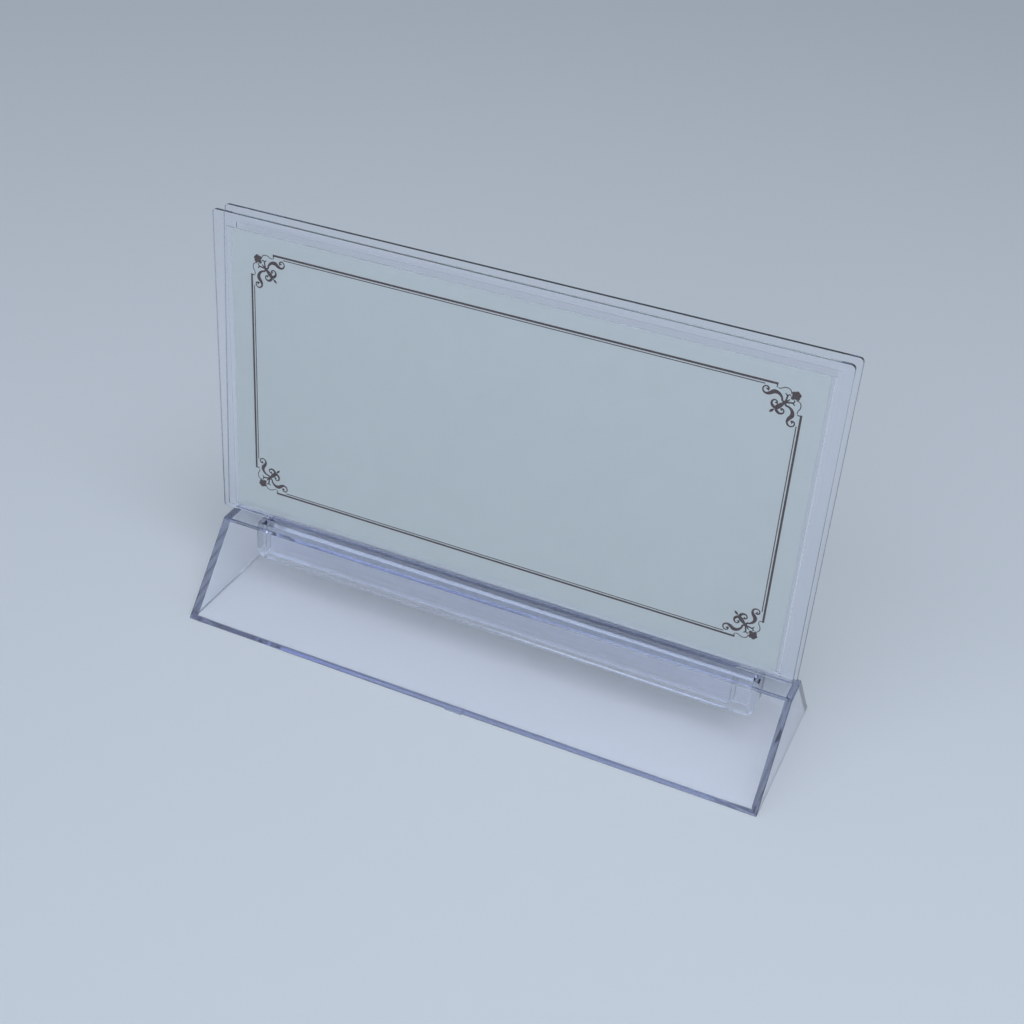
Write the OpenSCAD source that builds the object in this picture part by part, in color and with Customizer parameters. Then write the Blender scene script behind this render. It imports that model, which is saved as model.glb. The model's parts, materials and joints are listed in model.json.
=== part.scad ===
// Clear two-leaf table number holder: a moulded base with a socket along its ridge, two clear
// leaves that plug into the socket side by side, and a printed card held between the leaves.
// Millimetres. +X runs along the base, +Y points to the back, +Z is up.
// The origin is the middle of the base's footprint, on the table.

/* [Card] */
// Width of the printed card
card_w = 210; // [100:1:260]
// Height of the printed card
card_h = 110; // [80:1:140]
// Thickness of the card
card_t = 0.3; // [0.2:0.05:0.35]

/* [Leaves] */
// Wall thickness of each leaf
leaf_t = 1.5; // [1.3:0.1:2.5]
// Radius of a leaf's two top corners
leaf_corner_r = 1.5; // [0.5:0.5:5]
// Width of the rim beside the card recess
rim_side = 4.9; // [3:0.1:8]
// Width of the rim above the card recess
rim_top = 5.1; // [3:0.1:8]
// Width of the rim between the card recess and the base
rim_bottom = 2.1; // [1.5:0.1:5]
// Depth of the card recess in a leaf's inner face
recess_depth = 0.4; // [0.4:0.05:0.6]
// Gap between each side of the card and the recess
card_side_gap = 1.6; // [0.5:0.1:3]
// Gap between the top of the card and the recess
card_top_gap = 0.75; // [0.3:0.05:2]
// Mean backward lean of the two leaves, in degrees
lean = 3.8; // [0:0.1:8]
// Angle between the two leaves, in degrees
spread = 1.85; // [1:0.05:3]
// How far the front leaf stands from the middle of the base
front_leaf_shift = -3.2; // [-3.2:0.1:3.2]
// How far the back leaf stands from the middle of the base
back_leaf_shift = -2.2; // [-3.2:0.1:3.2]

/* [Base] */
// How far the leaves reach past each end of the base when they stand in the middle of it
leaf_overhang = 1; // [0:0.5:4]
// Height of the level land on top of the base
base_h = 30.3; // [24:0.1:40]
// Run of the sloping front wall, from its foot to the land
front_run = 26.5; // [20:0.1:40]
// Run of the sloping back wall, from its foot to the ridge
back_run = 23.5; // [18:0.1:40]
// Depth of the land in front of the front tab
land_front = 3.9; // [2:0.1:10]
// Width of the lip behind the socket mouth
ridge_lip = 0.3; // [0.2:0.1:4]
// Wall thickness of the base
wall_t = 2.5; // [1.5:0.1:3.5]

/* [Socket] */
// Distance from each end of the base to the socket's end
socket_inset = 12.5; // [8:0.5:25]
// Thickness of the socket's walls
tab_t = 2.5; // [1.5:0.1:3.5]
// How far the socket hangs below the land
tab_drop = 16; // [10:0.5:18]
// Radius of the socket's lower corners
tab_corner_r = 3.5; // [1:0.5:5]
// Clearance between a leaf's tongue and the socket wall
socket_clear = 0.2; // [0.1:0.05:0.4]
// Free play of a tongue towards each end of the socket
end_play = 3.5; // [3.3:0.1:6]
// How much shorter the tongues are than the socket is deep
tongue_gap = 1; // [0.5:0.5:3]
// Gap between the two tongues at their lower edges
tongue_apart = 0.1; // [0.05:0.05:0.3]

/* [Gate mark] */
// Length of the moulding gate's stub on the front foot
gate_w = 6.5; // [3:0.5:12]
// How far the stub stands out of the front wall
gate_out = 0.6; // [0.3:0.1:1]
// Height of the stub
gate_h = 1.8; // [1:0.1:3]

/* [Hidden] */
$fn = 64;
far = 400;
skin = 0.5;
seat_gap = 0.02;
card_front_gap = 0.05;
card_tilt = 0.35;
clear_tint = [0.80, 0.84, 0.93, 0.45];
paper_tint = [0.80, 0.84, 0.86];

front_lean = lean - spread / 2;
back_lean = lean + spread / 2;
recess_w = card_w + 2 * card_side_gap;
recess_h = card_h + card_top_gap;
leaf_w = recess_w + 2 * rim_side;
leaf_h = rim_bottom + recess_h + rim_top;
base_len = leaf_w - 2 * leaf_overhang;
socket_len = base_len - 2 * socket_inset;
tongue_len = tab_drop - tongue_gap;
tongue_w = socket_len - 2 * tab_t - 2 * end_play;
// Distance between the leaves' middle planes at the land, so that the tongues just meet below it
leaf_pitch = leaf_t + tongue_apart + tongue_len * (tan(back_lean) - tan(front_lean));
mouth_half = leaf_pitch / 2 + leaf_t / 2 + socket_clear;
land_len = land_front + tab_t + 2 * mouth_half + ridge_lip;
base_depth = front_run + land_len + back_run;
front_foot = -base_depth / 2;
back_foot = base_depth / 2;
bend_y = front_foot + front_run;
ridge_y = back_foot - back_run;
socket_y = ridge_y - ridge_lip - mouth_half;
front_angle = atan2(base_h, front_run);
back_angle = atan2(base_h, back_run);

// Extrudes a profile drawn as (y, z) along X, centred on the origin
module along_x(length) {
    translate([-length / 2, 0, 0])
        rotate([90, 0, 90])
            linear_extrude(length)
                children();
}

// Extrudes a face drawn as (x, z) along Y, centred on the leaf's middle plane
module along_y(thickness) {
    translate([0, thickness / 2, 0])
        rotate([90, 0, 0])
            linear_extrude(thickness)
                children();
}

// Puts something built round a leaf's middle plane, upright, at its place in the socket.
// side is -1 for the front leaf and 1 for the back leaf.
module in_leaf_frame(side) {
    tilt = side < 0 ? front_lean : back_lean;
    translate([0, socket_y + side * leaf_pitch / 2, base_h])
        rotate([-tilt, 0, 0])
            children();
}

// Rectangle from z0 up to z1 with both corners at one end rounded: the top ones or the bottom ones
module end_rounded_face(width, z0, z1, radius, round_top) {
    square_z0 = round_top ? z0 : z0 + radius;
    square_z1 = round_top ? z1 - radius : z1;
    round_z = round_top ? z1 - radius : z0 + radius;
    band_z = round_top ? z1 - radius : z0;
    translate([-width / 2, square_z0])
        square([width, square_z1 - square_z0]);
    translate([-width / 2 + radius, band_z])
        square([width - 2 * radius, radius]);
    for (side = [-1, 1])
        translate([side * (width / 2 - radius), round_z])
            circle(radius);
}

// Outer cross-section of the base
module base_outline() {
    polygon([
        [front_foot, 0],
        [bend_y, base_h],
        [ridge_y, base_h],
        [back_foot, 0]
    ]);
}

// Cross-section of the hollow under the base, run down past the table
module hollow_outline() {
    roof = base_h - wall_t;
    front_wall = wall_t / sin(front_angle);
    back_wall = wall_t / sin(back_angle);
    front_top = front_foot + front_wall + roof / tan(front_angle);
    back_top = back_foot - back_wall - roof / tan(back_angle);
    polygon([
        [front_foot + front_wall, 0],
        [front_foot + front_wall, -wall_t],
        [back_foot - back_wall, -wall_t],
        [back_foot - back_wall, 0],
        [back_top, roof],
        [front_top, roof]
    ]);
}

// Cross-section of the socket's block, or of its mouth when grow is 0
module socket_outline(grow, z0, z1) {
    front_y = socket_y - mouth_half - grow;
    back_y = socket_y + mouth_half + grow;
    polygon([
        [front_y + (z0 - base_h) * tan(front_lean), z0],
        [front_y + (z1 - base_h) * tan(front_lean), z1],
        [back_y + (z1 - base_h) * tan(back_lean), z1],
        [back_y + (z0 - base_h) * tan(back_lean), z0]
    ]);
}

// Block that the socket is cut from, with rounded lower corners, kept under the base's skin
module socket_block() {
    intersection() {
        along_x(socket_len)
            socket_outline(tab_t, base_h - tab_drop, base_h - skin);
        translate([0, socket_y, 0])
            along_y(far)
                end_rounded_face(socket_len, base_h - tab_drop, base_h + wall_t, tab_corner_r, false);
        along_x(base_len)
            base_outline();
    }
}

// Stub left on the front foot where the moulding gate was cut off
module gate_stub() {
    stub_run = gate_h / tan(front_angle);
    along_x(gate_w)
        polygon([
            [front_foot - gate_out, 0],
            [front_foot - gate_out + stub_run, gate_h],
            [front_foot + stub_run + skin, gate_h],
            [front_foot + skin, 0]
        ]);
}

module base() {
    color(clear_tint)
        difference() {
            union() {
                difference() {
                    along_x(base_len)
                        base_outline();
                    along_x(base_len - 2 * wall_t)
                        hollow_outline();
                }
                socket_block();
                gate_stub();
            }
            along_x(socket_len - 2 * tab_t)
                socket_outline(0, base_h - tab_drop - skin, base_h + skin);
        }
}

// One leaf, upright on its own middle plane. recess_side is 1 when its inner face looks to +Y.
module leaf(recess_side) {
    difference() {
        along_y(leaf_t) {
            end_rounded_face(leaf_w, 0, leaf_h, leaf_corner_r, true);
            end_rounded_face(tongue_w, -tongue_len, skin, leaf_corner_r, false);
        }
        translate([0, recess_side * leaf_t / 2, 0])
            along_y(2 * recess_depth)
                translate([-recess_w / 2, rim_bottom])
                    square([recess_w, recess_h]);
    }
}

// Lift that keeps a leaning leaf's square lower edge just on the land
function edge_lift(tilt) = leaf_t / 2 * tan(tilt) + seat_gap;

module front_leaf() {
    color(clear_tint)
        translate([front_leaf_shift, 0, 0])
            in_leaf_frame(-1)
                translate([0, 0, edge_lift(front_lean)])
                    leaf(1);
}

module back_leaf() {
    color(clear_tint)
        translate([back_leaf_shift, 0, 0])
            in_leaf_frame(1)
                translate([0, 0, edge_lift(back_lean)])
                    leaf(-1);
}

// The card stands on the lower step of the front leaf's recess, its top a little off the leaf
module card() {
    card_y = leaf_t / 2 - recess_depth + card_front_gap;
    color(paper_tint)
        translate([front_leaf_shift, 0, 0])
            in_leaf_frame(-1)
                translate([0, card_y, edge_lift(front_lean) + rim_bottom + seat_gap])
                    rotate([-card_tilt, 0, 0])
                        translate([-card_w / 2, 0, 0])
                            cube([card_w, card_t, card_h]);
}

base();
front_leaf();
back_leaf();
card();
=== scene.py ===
"""Looks of a clear table number holder: a moulded base, two leaves and a printed card."""

import json
import logging
import math
from dataclasses import dataclass, field
from enum import Enum

import bmesh
import bpy
from mathutils import Matrix, Vector


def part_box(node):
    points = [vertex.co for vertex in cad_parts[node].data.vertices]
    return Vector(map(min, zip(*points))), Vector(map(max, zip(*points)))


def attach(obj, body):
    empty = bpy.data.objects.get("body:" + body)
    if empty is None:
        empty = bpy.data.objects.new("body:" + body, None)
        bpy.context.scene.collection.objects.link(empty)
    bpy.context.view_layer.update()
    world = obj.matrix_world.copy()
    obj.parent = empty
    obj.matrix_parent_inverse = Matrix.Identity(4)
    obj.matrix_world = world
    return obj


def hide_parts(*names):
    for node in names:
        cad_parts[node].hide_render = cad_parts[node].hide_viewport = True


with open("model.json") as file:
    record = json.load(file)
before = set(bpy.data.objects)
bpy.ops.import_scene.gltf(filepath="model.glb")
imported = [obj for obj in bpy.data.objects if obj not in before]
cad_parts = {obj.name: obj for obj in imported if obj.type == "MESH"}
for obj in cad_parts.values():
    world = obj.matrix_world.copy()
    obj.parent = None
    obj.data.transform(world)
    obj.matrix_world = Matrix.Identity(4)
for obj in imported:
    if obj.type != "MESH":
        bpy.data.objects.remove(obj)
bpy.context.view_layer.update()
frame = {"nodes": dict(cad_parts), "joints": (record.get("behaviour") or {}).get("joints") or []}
LOG = logging.getLogger("table_number_holder")
MM = 0.001
# Corners closer than this are one corner, and faces that turn by less than this are one face.
WELD_MM = 0.002
FLAT_DEG = 0.3
# Trades a strip's run for its height, so that it lies up the side of the border.
SWAP_RUN_AND_HEIGHT = Matrix(((0, 0, 1, 0), (0, 1, 0, 0), (1, 0, 0, 0), (0, 0, 0, 1)))


class Facing(Enum):
    """Which leaf of the pair a moulding is, by the way its card recess looks."""

    FRONT_LEAF = 1
    BACK_LEAF = -1


# ---------------------------------------------------------------- colours and nodes


def linear(hex_colour: str) -> tuple[float, float, float, float]:
    """Turns an sRGB hex colour into Blender's linear values.

    Args:
        hex_colour: Six hex digits, such as "a0b4c8".

    Returns:
        Linear red, green and blue, with an alpha of 1.
    """
    channels = [int(hex_colour[i : i + 2], 16) / 255 for i in (0, 2, 4)]
    low = [c / 12.92 if c <= 0.04045 else ((c + 0.055) / 1.055) ** 2.4 for c in channels]
    return (*low, 1.0)


def add_node(
    tree: bpy.types.NodeTree,
    kind: str,
    settings: dict[str, object] | None = None,
    values: dict[str | int, object] | None = None,
    links: dict[str | int, bpy.types.NodeSocket] | None = None,
) -> bpy.types.Node:
    """Adds one node with its settings, its own values and its incoming links.

    Args:
        tree: The node tree it joins.
        kind: The node's Blender type name.
        settings: Attributes set on the node itself.
        values: Values set on its input sockets.
        links: Sockets of other nodes that feed its inputs.

    Returns:
        The new node.
    """
    node = tree.nodes.new(kind)
    for name, value in (settings or {}).items():
        setattr(node, name, value)
    for name, value in (values or {}).items():
        node.inputs[name].default_value = value
    for name, socket in (links or {}).items():
        tree.links.new(socket, node.inputs[name])
    return node


def new_material(name: str) -> tuple[bpy.types.Material, bpy.types.NodeTree, bpy.types.Node]:
    """Makes an empty node material.

    Args:
        name: The material's name.

    Returns:
        The material, its node tree and its output node.
    """
    material = bpy.data.materials.new(name)
    material.use_nodes = True
    material.node_tree.nodes.clear()
    return material, material.node_tree, add_node(material.node_tree, "ShaderNodeOutputMaterial")


# ---------------------------------------------------------------- finishes


@dataclass(frozen=True)
class ClearPolystyrene:
    """Crystal polystyrene, moulded in a polished tool, with a faint violet toner in it."""

    name: str = "crystal_polystyrene_base"
    surface: str = "fbfcff"
    body: str = "98a5cf"
    lamp_share: str = "cdcccb"
    density: float = 24.0
    ior: float = 1.59
    roughness: float = 0.02
    flow_mm: float = 26.0
    flow_lift_mm: float = 0.008
    haze_mm: float = 0.9
    haze_span: tuple[float, float] = (0.35, 0.8)

    def build(self) -> bpy.types.Material:
        """Makes the material.

        Returns:
            The clear plastic, tinted by how far light travels in it.
        """
        material, tree, output = new_material(self.name)
        place = add_node(tree, "ShaderNodeTexCoord").outputs["Object"]
        # The melt's flow leaves the polished faces very slightly wavy, so reflections run uneven.
        flow = add_node(
            tree,
            "ShaderNodeTexNoise",
            values={"Scale": 1 / (self.flow_mm * MM), "Detail": 1.0, "Roughness": 0.4},
            links={"Vector": place},
        )
        wave = add_node(
            tree,
            "ShaderNodeBump",
            values={"Strength": 1.0, "Distance": self.flow_lift_mm * MM},
            links={"Height": flow.outputs["Fac"]},
        )
        # Handling leaves a fine haze, which breaks the gloss up a little.
        haze = add_node(
            tree,
            "ShaderNodeTexNoise",
            values={"Scale": 1 / (self.haze_mm * MM), "Detail": 3.0},
            links={"Vector": place},
        )
        gloss = add_node(
            tree,
            "ShaderNodeMapRange",
            values={
                "From Min": self.haze_span[0],
                "From Max": self.haze_span[1],
                "To Min": self.roughness * 0.5,
                "To Max": self.roughness * 2,
            },
            links={"Value": haze.outputs["Fac"]},
        )
        plastic = add_node(
            tree,
            "ShaderNodeBsdfPrincipled",
            values={
                "Base Color": linear(self.surface),
                "IOR": self.ior,
                "Transmission Weight": 1.0,
            },
            links={"Roughness": gloss.outputs["Result"], "Normal": wave.outputs["Normal"]},
        )
        # Long ways through the plastic, as along a wall seen edge on, come out violet-blue.
        toner = add_node(
            tree,
            "ShaderNodeVolumeAbsorption",
            values={"Color": linear(self.body), "Density": self.density},
        )
        # A stand-in for the lamps' shadow rays lets them light what is behind the clear walls.
        clear = add_node(
            tree,
            "ShaderNodeBsdfTransparent",
            values={"Color": linear(self.lamp_share)},
        )
        ray = add_node(tree, "ShaderNodeLightPath")
        surface = add_node(
            tree,
            "ShaderNodeMixShader",
            links={
                0: ray.outputs["Is Shadow Ray"],
                1: plastic.outputs["BSDF"],
                2: clear.outputs["BSDF"],
            },
        )
        tree.links.new(surface.outputs["Shader"], output.inputs["Surface"])
        tree.links.new(toner.outputs["Volume"], output.inputs["Volume"])
        return material


@dataclass(frozen=True)
class CoatedCardStock:
    """White coated card, calendered smooth, with the fibres just showing through its coat."""

    name: str = "coated_card_stock"
    # Both tones are greyed below white paper, a painted shade that offsets the extra lamp light
    # reaching the card through the leaf. The mottle between them is the card's own.
    painted_shade_white: str = "d5dbd8"
    painted_shade_mottle: str = "ced5d2"
    roughness: float = 0.5
    mottle_mm: float = 9.0
    fibre_mm: float = 0.35
    fibre_lift_mm: float = 0.01

    def build(self) -> bpy.types.Material:
        """Makes the material.

        Returns:
            The card's matt paper tone, greyed by a painted shade, with a soft mottle and a fine
            tooth.
        """
        material, tree, output = new_material(self.name)
        place = add_node(tree, "ShaderNodeTexCoord").outputs["Object"]
        mottle = add_node(
            tree,
            "ShaderNodeTexNoise",
            values={"Scale": 1 / (self.mottle_mm * MM), "Detail": 4.0, "Roughness": 0.6},
            links={"Vector": place},
        )
        tone = add_node(
            tree,
            "ShaderNodeMix",
            settings={"data_type": "RGBA"},
            values={6: linear(self.painted_shade_white), 7: linear(self.painted_shade_mottle)},
            links={0: mottle.outputs["Fac"]},
        )
        fibre = add_node(
            tree,
            "ShaderNodeTexNoise",
            values={"Scale": 1 / (self.fibre_mm * MM), "Detail": 3.0, "Roughness": 0.7},
            links={"Vector": place},
        )
        tooth = add_node(
            tree,
            "ShaderNodeBump",
            values={"Strength": 0.6, "Distance": self.fibre_lift_mm * MM},
            links={"Height": fibre.outputs["Fac"]},
        )
        card = add_node(
            tree,
            "ShaderNodeBsdfPrincipled",
            values={"Roughness": self.roughness, "IOR": 1.5, "Specular IOR Level": 0.35},
            links={"Base Color": tone.outputs[2], "Normal": tooth.outputs["Normal"]},
        )
        tree.links.new(card.outputs["BSDF"], output.inputs["Surface"])
        return material


@dataclass(frozen=True)
class OffsetInk:
    """Dark maroon offset ink, laid thin, so its solid areas vary a little in tone."""

    name: str = "offset_printing_ink"
    deep: str = "250508"
    thin: str = "3f1112"
    roughness: float = 0.6
    grain_mm: float = 0.8

    def build(self) -> bpy.types.Material:
        """Makes the material.

        Returns:
            The ink, a little lighter where it is thin.
        """
        material, tree, output = new_material(self.name)
        place = add_node(tree, "ShaderNodeTexCoord").outputs["Object"]
        grain = add_node(
            tree,
            "ShaderNodeTexNoise",
            values={"Scale": 1 / (self.grain_mm * MM), "Detail": 3.0},
            links={"Vector": place},
        )
        tone = add_node(
            tree,
            "ShaderNodeMix",
            settings={"data_type": "RGBA"},
            values={6: linear(self.deep), 7: linear(self.thin)},
            links={0: grain.outputs["Fac"]},
        )
        ink = add_node(
            tree,
            "ShaderNodeBsdfPrincipled",
            values={"Roughness": self.roughness, "IOR": 1.48, "Specular IOR Level": 0.2},
            links={"Base Color": tone.outputs[2]},
        )
        tree.links.new(ink.outputs["BSDF"], output.inputs["Surface"])
        return material


@dataclass(frozen=True)
class StudioPaper:
    """Seamless pale paper that the holder stands on."""

    name: str = "seamless_studio_paper"
    colour: str = "e1e2e3"
    roughness: float = 0.6
    roughness_spread: float = 0.05
    cloud_mm: float = 140.0

    def build(self) -> bpy.types.Material:
        """Makes the material.

        Returns:
            A matt pale grey with a very soft unevenness.
        """
        material, tree, output = new_material(self.name)
        place = add_node(tree, "ShaderNodeTexCoord").outputs["Object"]
        cloud = add_node(
            tree,
            "ShaderNodeTexNoise",
            values={"Scale": 1 / (self.cloud_mm * MM), "Detail": 2.0},
            links={"Vector": place},
        )
        tone = add_node(
            tree,
            "ShaderNodeMapRange",
            values={
                "To Min": self.roughness - self.roughness_spread,
                "To Max": self.roughness + self.roughness_spread,
            },
            links={"Value": cloud.outputs["Fac"]},
        )
        paper = add_node(
            tree,
            "ShaderNodeBsdfPrincipled",
            values={"Base Color": linear(self.colour), "Specular IOR Level": 0.3},
            links={"Roughness": tone.outputs["Result"]},
        )
        tree.links.new(paper.outputs["BSDF"], output.inputs["Surface"])
        return material


# ---------------------------------------------------------------- mesh helpers


def merged_copy(node: str, cuts_x: tuple[float, ...] = ()) -> bmesh.types.BMesh:
    """Copies a CAD node's mesh with its loose triangles welded and its flat faces joined.

    Args:
        node: The CAD node's name.
        cuts_x: Places along X where faces stay divided, so that no face has a hole in it.

    Returns:
        A bmesh in the row frame.
    """
    shell = bmesh.new()
    shell.from_mesh(frame["nodes"][node].data)
    bmesh.ops.remove_doubles(shell, verts=shell.verts, dist=WELD_MM * MM)
    for x in cuts_x:
        everything = [*shell.verts, *shell.edges, *shell.faces]
        cut = bmesh.ops.bisect_plane(
            shell, geom=everything, dist=WELD_MM * MM, plane_co=(x, 0, 0), plane_no=(1, 0, 0)
        )
        for part in cut["geom_cut"]:
            if isinstance(part, bmesh.types.BMEdge):
                part.seam = True
    bmesh.ops.dissolve_limit(
        shell,
        angle_limit=math.radians(FLAT_DEG),
        verts=shell.verts,
        edges=shell.edges,
        delimit={"SEAM"},
    )
    return shell


def sharp_edges(shell: bmesh.types.BMesh, least_deg: float = 25.0) -> list[bmesh.types.BMEdge]:
    """Lists the edges whose two faces turn by at least the given angle.

    Args:
        shell: The mesh.
        least_deg: The smallest turn, in degrees.

    Returns:
        The edges.
    """
    return [
        e
        for e in shell.edges
        if len(e.link_faces) == 2 and e.calc_face_angle(0.0) > math.radians(least_deg)
    ]


def round_edges(
    shell: bmesh.types.BMesh,
    edges: list[bmesh.types.BMEdge],
    radius_mm: float,
    segments: int = 3,
) -> None:
    """Rounds edges to a radius.

    Args:
        shell: The mesh.
        edges: The edges to round.
        radius_mm: How far the rounding reaches from each edge.
        segments: Steps across the rounding.
    """
    bmesh.ops.bevel(
        shell,
        geom=list(dict.fromkeys(edges)),
        offset=radius_mm * MM,
        offset_type="OFFSET",
        affect="EDGES",
        segments=segments,
        profile=0.5,
        material=-1,
        clamp_overlap=False,
    )


def finish_piece(
    shell: bmesh.types.BMesh,
    name: str,
    body: str,
    material: bpy.types.Material,
    replaced: tuple[str, ...] = (),
    smooth_deg: float = 30.0,
) -> bpy.types.Object:
    """Turns a bmesh into a named piece that rides on its body.

    Args:
        shell: The mesh, in the row frame.
        name: The piece's name.
        body: The CAD body it rides on.
        material: Its material.
        replaced: CAD nodes it stands for.
        smooth_deg: Edges that turn by less than this are shaded smooth.

    Returns:
        The finished object.
    """
    bmesh.ops.recalc_face_normals(shell, faces=shell.faces)
    for face in shell.faces:
        face.smooth = True
    limit = math.radians(smooth_deg)
    for edge in shell.edges:
        edge.smooth = len(edge.link_faces) == 2 and edge.calc_face_angle(0.0) < limit
    mesh = bpy.data.meshes.new(name)
    shell.to_mesh(mesh)
    shell.free()
    mesh.materials.append(material)
    piece = bpy.data.objects.new(name, mesh)
    bpy.context.scene.collection.objects.link(piece)
    # Large flat faces keep their own direction, so their roundings don't bend the view through.
    true_faces = piece.modifiers.new("true_faces", "WEIGHTED_NORMAL")
    true_faces.keep_sharp = True
    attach(piece, body)
    if replaced:
        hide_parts(*replaced)
    LOG.info("%s: %d faces on %s", name, len(mesh.polygons), body)
    return piece


def slide_basis(joint: str) -> Matrix:
    """Gives the turn of a leaning piece from the axis of the joint that lifts it.

    Args:
        joint: The slide joint's name.

    Returns:
        A rotation whose Z runs up the piece, X along the base and Y through its thickness.
    """
    axis = next(Vector(j["axis"]) for j in frame["joints"] if j["name"] == joint).normalized()
    along = Vector((1.0, 0.0, 0.0))
    through = axis.cross(along)
    return Matrix((along, through, axis)).transposed().to_4x4()


def extent(shell: bmesh.types.BMesh) -> tuple[Vector, Vector]:
    """Gives the lowest and highest corners of a bmesh.

    Args:
        shell: The mesh.

    Returns:
        The two corners.
    """
    spans = [[v.co[i] for v in shell.verts] for i in range(3)]
    return Vector([min(s) for s in spans]), Vector([max(s) for s in spans])


# ---------------------------------------------------------------- base


@dataclass
class BaseMoulding:
    """The hollow base with its socket, in one moulding."""

    plastic: bpy.types.Material
    outer_round_mm: float = 0.45
    foot_round_mm: float = 0.55
    wall_mm: float = 2.5
    socket_inset_mm: float = 12.5
    socket_wall_mm: float = 2.5
    gate_reach_mm: float = 5.0
    near_mm: float = 0.05

    def build(self) -> list[bpy.types.Object]:
        """Builds the base.

        Returns:
            The base's one piece.
        """
        low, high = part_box("base")
        insets = (self.wall_mm, self.socket_inset_mm, self.socket_inset_mm + self.socket_wall_mm)
        cuts = tuple(side * (high.x - inset * MM) for inset in insets for side in (-1, 1))
        shell = merged_copy("base", cuts)
        near = self.near_mm * MM
        ends = high.x - near
        roof = high.z - near

        def is_outer(edge: bmesh.types.BMEdge) -> bool:
            """Tells whether an edge lies on an end face."""
            return all(abs(v.co.x) > ends for v in edge.verts)

        end_edges = [e for e in sharp_edges(shell) if is_outer(e)]
        bend_y = min(v.co.y for v in shell.verts if v.co.z > roof and abs(v.co.x) > ends)
        bend = [
            e
            for e in sharp_edges(shell)
            if all(v.co.z > roof and abs(v.co.y - bend_y) < near for v in e.verts)
        ]
        round_edges(shell, end_edges + bend, self.outer_round_mm)
        # The foot's lower edges are rounded a little more, all but the cut gate's.
        floor = low.z + near
        foot = [
            e
            for e in sharp_edges(shell)
            if all(v.co.z < floor for v in e.verts) and not self._is_gate(e, low.y + near)
        ]
        round_edges(shell, foot, self.foot_round_mm, segments=4)
        return [finish_piece(shell, "base_moulding", "base", self.plastic, ("base",))]

    def _is_gate(self, edge: bmesh.types.BMEdge, front: float) -> bool:
        """Tells whether an edge belongs to the gate's stub on the front foot.

        Args:
            edge: The edge.
            front: The foot's front line.

        Returns:
            True for an edge in front of that line.
        """
        reach = self.gate_reach_mm * MM
        return any(v.co.y < front for v in edge.verts) and abs(edge.verts[0].co.x) < reach


# ---------------------------------------------------------------- leaves


@dataclass
class LeafMoulding:
    """One clear leaf with its tongue and its shallow card recess."""

    plastic: bpy.types.Material
    facing: Facing
    edge_round_mm: float = 0.22
    rim_side_mm: float = 4.9
    recess_mm: float = 0.4
    recess_draft_mm: float = 0.35
    near_mm: float = 0.02

    def build(self) -> list[bpy.types.Object]:
        """Builds the leaf.

        Returns:
            The leaf's one piece.
        """
        body = "front_leaf" if self.facing is Facing.FRONT_LEAF else "back_leaf"
        basis = slide_basis(f"{body}_lift")
        box_low, box_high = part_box(body)
        rim = self.rim_side_mm * MM
        shell = merged_copy(body, (box_low.x + rim, box_high.x - rim))
        bmesh.ops.transform(shell, matrix=basis.inverted(), verts=shell.verts)
        low, high = extent(shell)
        near = self.near_mm * MM
        inner = high.y if self.facing is Facing.FRONT_LEAF else low.y
        floor_y = inner - self.facing.value * self.recess_mm * MM
        floor_verts = [v for v in shell.verts if abs(v.co.y - floor_y) < near]
        self._slope_recess_walls(floor_verts)
        faces_y = (low.y, high.y)
        outline = [
            e
            for e in sharp_edges(shell)
            if not any(abs(v.co.y - floor_y) < near for v in e.verts)
            and not self._is_recess_mouth(e, inner, floor_verts, near)
            and any(all(abs(v.co.y - y) < near for v in e.verts) for y in faces_y)
        ]
        round_edges(shell, outline, self.edge_round_mm)
        bmesh.ops.transform(shell, matrix=basis, verts=shell.verts)
        return [finish_piece(shell, f"{body}_moulding", body, self.plastic, (body,))]

    def _slope_recess_walls(self, floor_verts: list[bmesh.types.BMVert]) -> None:
        """Draws the recess floor in at its sides and top, so its walls slope as a mould needs.

        Args:
            floor_verts: The corners of the recess floor.
        """
        draft = self.recess_draft_mm * MM
        centre_x = sum(v.co.x for v in floor_verts) / len(floor_verts)
        middle_z = sum(v.co.z for v in floor_verts) / len(floor_verts)
        for vert in floor_verts:
            vert.co.x -= math.copysign(draft, vert.co.x - centre_x)
            if vert.co.z > middle_z:
                vert.co.z -= draft

    @staticmethod
    def _is_recess_mouth(
        edge: bmesh.types.BMEdge, inner: float, floor_verts: list[bmesh.types.BMVert], near: float
    ) -> bool:
        """Tells whether an edge is the recess's mouth.

        Args:
            edge: The edge.
            inner: Where the leaf's inner face lies.
            floor_verts: The corners of the recess floor.
            near: How close counts as touching.

        Returns:
            True when a face beside the edge reaches the recess floor.
        """
        floor = set(floor_verts)
        return all(abs(v.co.y - inner) < near for v in edge.verts) and any(
            v in floor for f in edge.link_faces for v in f.verts
        )


# ---------------------------------------------------------------- card and print


@dataclass(frozen=True)
class Stroke:
    """One pen stroke: points counted from the border's corner, with the pen's width at each."""

    points_mm: tuple[tuple[float, float, float], ...]


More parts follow.
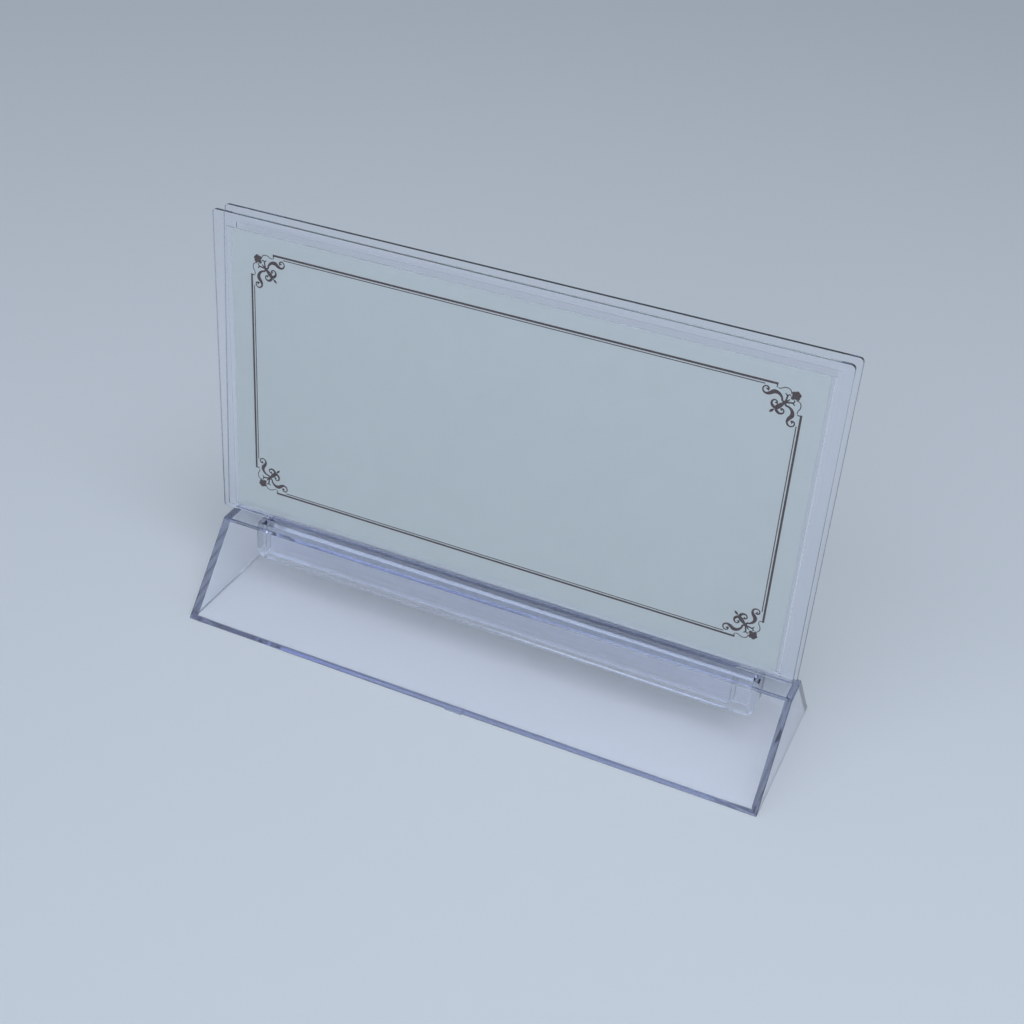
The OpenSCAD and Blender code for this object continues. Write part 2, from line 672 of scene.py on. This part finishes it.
@dataclass
class PrintedCard:
    """The card between the leaves, and the border printed on its front."""

    stock: bpy.types.Material
    ink: bpy.types.Material
    cut_round_mm: float = 0.04
    ink_rise_mm: float = 0.015
    side_margin_mm: float = 7.5
    shift_mm: float = 0.6
    top_margin_mm: float = 6.4
    bottom_margin_mm: float = 9.7
    outer_line_mm: float = 0.72
    inner_line_mm: float = 0.34
    line_gap_mm: float = 0.95
    notch_mm: float = 8.5
    step_mm: float = 1.3
    step_inset_mm: float = 0.1
    inner_start_mm: float = 12.5
    pen_weight: float = 1.2
    scroll: tuple[Stroke, ...] = field(
        default_factory=lambda: (
            # stem on the diagonal, running into the long S that ends in a curl beside the line
            Stroke(((4.2, 4.2, 0.3), (5.4, 5.2, 0.5), (6.3, 5.3, 0.55), (6.8, 4.1, 0.6),
                    (7.9, 3.0, 0.9), (9.3, 2.8, 1.25), (10.7, 3.7, 1.0), (11.9, 4.0, 0.6),
                    (12.9, 3.2, 0.45), (12.8, 2.1, 0.4), (11.9, 1.6, 0.4), (11.2, 2.2, 0.5),
                    (11.6, 2.8, 1.1))),
            # C-curl facing the middle of the card
            Stroke(((5.6, 5.6, 0.45), (6.6, 7.1, 0.6), (7.8, 8.0, 0.8), (9.1, 7.6, 0.85),
                    (9.6, 6.4, 0.6), (8.9, 5.5, 0.4), (8.0, 5.9, 0.45), (8.2, 6.6, 0.9))),
            # short branch towards the corner
            Stroke(((5.6, 5.6, 0.5), (5.3, 4.3, 0.5), (5.2, 3.2, 0.45), (5.9, 2.5, 0.3))),
            Stroke(((5.2, 3.3, 0.4), (4.5, 2.7, 0.35), (4.1, 3.0, 0.3))),
            # thin bracket from the line's step to the bud
            Stroke(((8.4, 1.35, 0.25), (7.6, 1.3, 0.25), (6.4, 0.7, 0.28), (5.1, 0.7, 0.28),
                    (4.2, 1.5, 0.28), (4.1, 2.3, 0.25))),
            # tip bud on the diagonal
            Stroke(((8.6, 8.6, 0.35), (9.3, 9.3, 0.8), (9.9, 9.9, 0.25))),
        )
    )
    bud_mm: tuple[tuple[float, float, float], ...] = (
        (2.7, 2.7, 1.15),
        (1.7, 2.3, 0.75),
        (2.3, 1.7, 0.75),
        (1.9, 3.3, 0.65),
        (3.3, 1.9, 0.65),
        (3.5, 3.5, 0.6),
    )

    def build(self) -> list[bpy.types.Object]:
        """Builds the card and its print.

        Returns:
            The card, the border lines and the four corner scrolls.
        """
        self.basis = slide_basis("card_lift")
        shell = merged_copy("card")
        bmesh.ops.transform(shell, matrix=self.basis.inverted(), verts=shell.verts)
        self.low, self.high = extent(shell)
        round_edges(shell, sharp_edges(shell), self.cut_round_mm, segments=2)
        bmesh.ops.transform(shell, matrix=self.basis, verts=shell.verts)
        pieces = [finish_piece(shell, "card_stock", "card", self.stock, ("card",))]
        middle = (self.low.x + self.high.x) / 2 + self.shift_mm * MM
        half = (self.high.x - self.low.x) / 2 - self.side_margin_mm * MM
        self.left, self.right = middle - half, middle + half
        self.bottom = self.low.z + self.bottom_margin_mm * MM
        self.top = self.high.z - self.top_margin_mm * MM
        pieces.append(self._border_lines())
        pieces += self._corner_scrolls()
        return pieces

    def _border_lines(self) -> bpy.types.Object:
        """Builds the strong outer line with its stepped ends and the thin line inside it.

        Returns:
            The lines as one piece.
        """
        shell = bmesh.new()
        width, height = self.right - self.left, self.top - self.bottom
        for corner in self._corners():
            for swapped in (False, True):
                reach = (height if swapped else width) / 2
                for offset, start, line in (
                    (0.0, self.notch_mm, self.outer_line_mm),
                    (self.line_gap_mm, self.inner_start_mm, self.inner_line_mm),
                ):
                    self._strip(shell, corner, swapped, (start * MM, reach), offset * MM, line * MM)
                step_at = self.notch_mm + self.step_inset_mm
                step = (step_at * MM, (step_at + self.inner_line_mm) * MM)
                self._strip(shell, corner, swapped, step, self.step_mm / 2 * MM, self.step_mm * MM)
        return self._place_print(shell, "print_border_lines")

    def _corners(self) -> list[Matrix]:
        """Lists the four corners of the border.

        Returns:
            For each, a matrix from corner coordinates (u, through, v) to the card's own.
        """
        front = self.low.y
        return [
            Matrix.Translation((x, front, z)) @ Matrix.Diagonal((sx, 1.0, sz, 1.0))
            for x, sx in ((self.left, 1.0), (self.right, -1.0))
            for z, sz in ((self.bottom, 1.0), (self.top, -1.0))
        ]

    def _strip(
        self,
        shell: bmesh.types.BMesh,
        corner: Matrix,
        swapped: bool,
        run: tuple[float, float],
        offset: float,
        width: float,
    ) -> None:
        """Adds one straight strip of ink to the lines.

        Args:
            shell: The mesh it joins.
            corner: The corner it is counted from.
            swapped: True for a strip up the side instead of along the bottom or top.
            run: Where it starts and ends along the line.
            offset: How far its middle lies inside the border.
            width: Its width.
        """
        rise = self.ink_rise_mm * MM
        size = Matrix.Diagonal((run[1] - run[0], 2 * rise, width, 1.0))
        place = Matrix.Translation(((run[0] + run[1]) / 2, 0.0, offset)) @ size
        turn = SWAP_RUN_AND_HEIGHT if swapped else Matrix.Identity(4)
        bmesh.ops.create_cube(shell, size=1.0, matrix=corner @ turn @ place)

    def _corner_scrolls(self) -> list[bpy.types.Object]:
        """Builds the scroll in each corner of the border.

        Returns:
            Four pieces.
        """
        pieces = []
        for number, corner in enumerate(self._corners(), start=1):
            shell = bmesh.new()
            for swapped in (False, True):
                for stroke in self.scroll:
                    self._pen_stroke(shell, stroke, corner, swapped)
            for u, v, radius in self.bud_mm:
                rise = self.ink_rise_mm * MM
                place = Matrix.Translation((u * MM, 0.0, v * MM))
                lobe = Matrix.Diagonal((radius * MM, rise, radius * MM, 1.0))
                bmesh.ops.create_uvsphere(
                    shell, u_segments=20, v_segments=10, radius=1.0, matrix=corner @ place @ lobe
                )
            pieces.append(self._place_print(shell, f"print_corner_scroll_{number}"))
        return pieces

    def _pen_stroke(
        self, shell: bmesh.types.BMesh, stroke: Stroke, corner: Matrix, swapped: bool
    ) -> None:
        """Adds one pen stroke, thick and thin along its way.

        Args:
            shell: The mesh it joins.
            stroke: The stroke.
            corner: The corner it is counted from.
            swapped: True for the stroke mirrored across the corner's diagonal.
        """
        curve = bpy.data.curves.new("pen", "CURVE")
        curve.dimensions = "3D"
        curve.bevel_depth = 1.0
        curve.bevel_resolution = 3
        curve.resolution_u = 8
        curve.use_fill_caps = True
        spline = curve.splines.new("BEZIER")
        spline.bezier_points.add(len(stroke.points_mm) - 1)
        for point, (u, v, width) in zip(spline.bezier_points, stroke.points_mm):
            a, b = (v, u) if swapped else (u, v)
            point.co = (a * MM, 0.0, b * MM)
            point.radius = width * self.pen_weight / 2 * MM
            point.handle_left_type = point.handle_right_type = "AUTO"
        holder = bpy.data.objects.new("pen", curve)
        bpy.context.scene.collection.objects.link(holder)
        bpy.context.view_layer.update()
        evaluated = holder.evaluated_get(bpy.context.evaluated_depsgraph_get())
        mesh = bpy.data.meshes.new_from_object(evaluated)
        flat = max(width for _, _, width in stroke.points_mm) * self.pen_weight / 2
        mesh.transform(corner @ Matrix.Diagonal((1.0, self.ink_rise_mm / flat, 1.0, 1.0)))
        shell.from_mesh(mesh)
        bpy.data.objects.remove(holder)
        bpy.data.curves.remove(curve)
        bpy.data.meshes.remove(mesh)

    def _place_print(self, shell: bmesh.types.BMesh, name: str) -> bpy.types.Object:
        """Puts a piece of print on the card.

        Args:
            shell: The print in the card's own axes.
            name: The piece's name.

        Returns:
            The finished object.
        """
        bmesh.ops.transform(shell, matrix=self.basis, verts=shell.verts)
        return finish_piece(shell, name, "card", self.ink, smooth_deg=60.0)


# ---------------------------------------------------------------- studio


@dataclass(frozen=True)
class SoftBox:
    """One soft studio light, aimed at the middle of the holder."""

    name: str
    place_m: tuple[float, float, float]
    size_m: tuple[float, float]
    power_w: float
    colour: str

    def build(self, aim: Vector) -> None:
        """Adds the light.

        Args:
            aim: The point it faces.
        """
        lamp = bpy.data.lights.new(self.name, "AREA")
        lamp.shape = "RECTANGLE"
        lamp.size, lamp.size_y = self.size_m
        lamp.energy = self.power_w
        lamp.color = linear(self.colour)[:3]
        holder = bpy.data.objects.new(self.name, lamp)
        holder.location = self.place_m
        holder.rotation_euler = (aim - Vector(self.place_m)).to_track_quat("-Z", "Y").to_euler()
        bpy.context.scene.collection.objects.link(holder)


@dataclass
class Studio:
    """Floor, lights and camera."""

    floor_m: float = 8.0
    floor_gap_mm: float = 0.15
    sky: str = "dfedff"
    sky_strength: float = 0.41
    camera_aim_mm: tuple[float, float, float] = (3.8, 3.6, 65.35)
    camera_turn_deg: float = 23.46
    camera_height_deg: float = 34.5
    camera_roll_deg: float = 2.87
    camera_distance_mm: float = 524.2
    lens_mm: float = 54.0
    sensor_mm: float = 36.0
    lights_aim_m: tuple[float, float, float] = (0.0, 0.0, 0.05)
    light_bounces: int = 64
    lights: tuple[SoftBox, ...] = (
        SoftBox("key_softbox", (0.41, -0.29, 1.0), (0.6, 0.6), 4.5, "e4eefb"),
        SoftBox("front_softbox", (-0.4, -2.1, 1.25), (3.0, 2.2), 27.5, "e4eefb"),
    )

    def build(self) -> None:
        """Builds the floor, the lights and the camera."""
        self._floor()
        self._sky()
        aim = Vector(self.lights_aim_m)
        for light in self.lights:
            light.build(aim)
        self._camera()
        scene = bpy.context.scene
        scene.view_settings.view_transform = "Standard"
        # Light runs a long way inside clear walls, turning at every face, before it gets out.
        cycles = scene.cycles
        cycles.max_bounces = self.light_bounces
        cycles.transmission_bounces = cycles.glossy_bounces = self.light_bounces

    def _floor(self) -> None:
        """Lays the pale floor under the holder."""
        sheet = bmesh.new()
        # A hair of air under the foot keeps its underside from lying in the floor's own plane.
        drop = Matrix.Translation((0.0, 0.0, -self.floor_gap_mm * MM))
        bmesh.ops.create_grid(sheet, x_segments=4, y_segments=4, size=self.floor_m / 2, matrix=drop)
        mesh = bpy.data.meshes.new("floor")
        sheet.to_mesh(mesh)
        sheet.free()
        mesh.materials.append(StudioPaper().build())
        floor = bpy.data.objects.new("floor", mesh)
        bpy.context.scene.collection.objects.link(floor)

    def _sky(self) -> None:
        """Fills the room with soft pale light."""
        world = bpy.data.worlds.new("soft_room")
        bpy.context.scene.world = world
        world.use_nodes = True
        tree = world.node_tree
        tree.nodes.clear()
        output = add_node(tree, "ShaderNodeOutputWorld")
        glow = add_node(
            tree,
            "ShaderNodeBackground",
            values={"Color": linear(self.sky), "Strength": self.sky_strength},
        )
        tree.links.new(glow.outputs["Background"], output.inputs["Surface"])

    def _camera(self) -> None:
        """Sets the camera up at the holder's front right, looking down."""
        turn = math.radians(self.camera_turn_deg)
        height = math.radians(self.camera_height_deg)
        roll = math.radians(self.camera_roll_deg)
        level = math.cos(height)
        away = Vector((math.sin(turn) * level, -math.cos(turn) * level, math.sin(height)))
        right = Vector((math.cos(turn), math.sin(turn), 0.0))
        up = away.cross(right)
        tilt = Matrix.Rotation(roll, 3, away)
        spot = Vector(self.camera_aim_mm) * MM + away * self.camera_distance_mm * MM
        basis = Matrix((tilt @ right, tilt @ up, away)).transposed().to_4x4()
        lens = bpy.data.cameras.new("camera")
        lens.lens = self.lens_mm
        lens.sensor_width = self.sensor_mm
        camera = bpy.data.objects.new("camera", lens)
        camera.matrix_world = Matrix.Translation(spot) @ basis
        bpy.context.scene.collection.objects.link(camera)
        bpy.context.scene.camera = camera


def main() -> None:
    """Builds the studio, then each sub-assembly, and reports each piece."""
    logging.basicConfig(level=logging.INFO, format="%(name)s: %(message)s")
    Studio().build()
    base_plastic = ClearPolystyrene().build()
    # The leaves are given less toner than the base, for the look: their edges stay light.
    leaf_plastic = ClearPolystyrene(name="crystal_polystyrene_leaf", density=8.0).build()
    assemblies = (
        BaseMoulding(base_plastic),
        LeafMoulding(leaf_plastic, Facing.FRONT_LEAF),
        LeafMoulding(leaf_plastic, Facing.BACK_LEAF),
        PrintedCard(CoatedCardStock().build(), OffsetInk().build()),
    )
    for assembly in assemblies:
        for piece in assembly.build():
            LOG.info("built %s", piece.name)


if __name__ == "__main__":
    main()
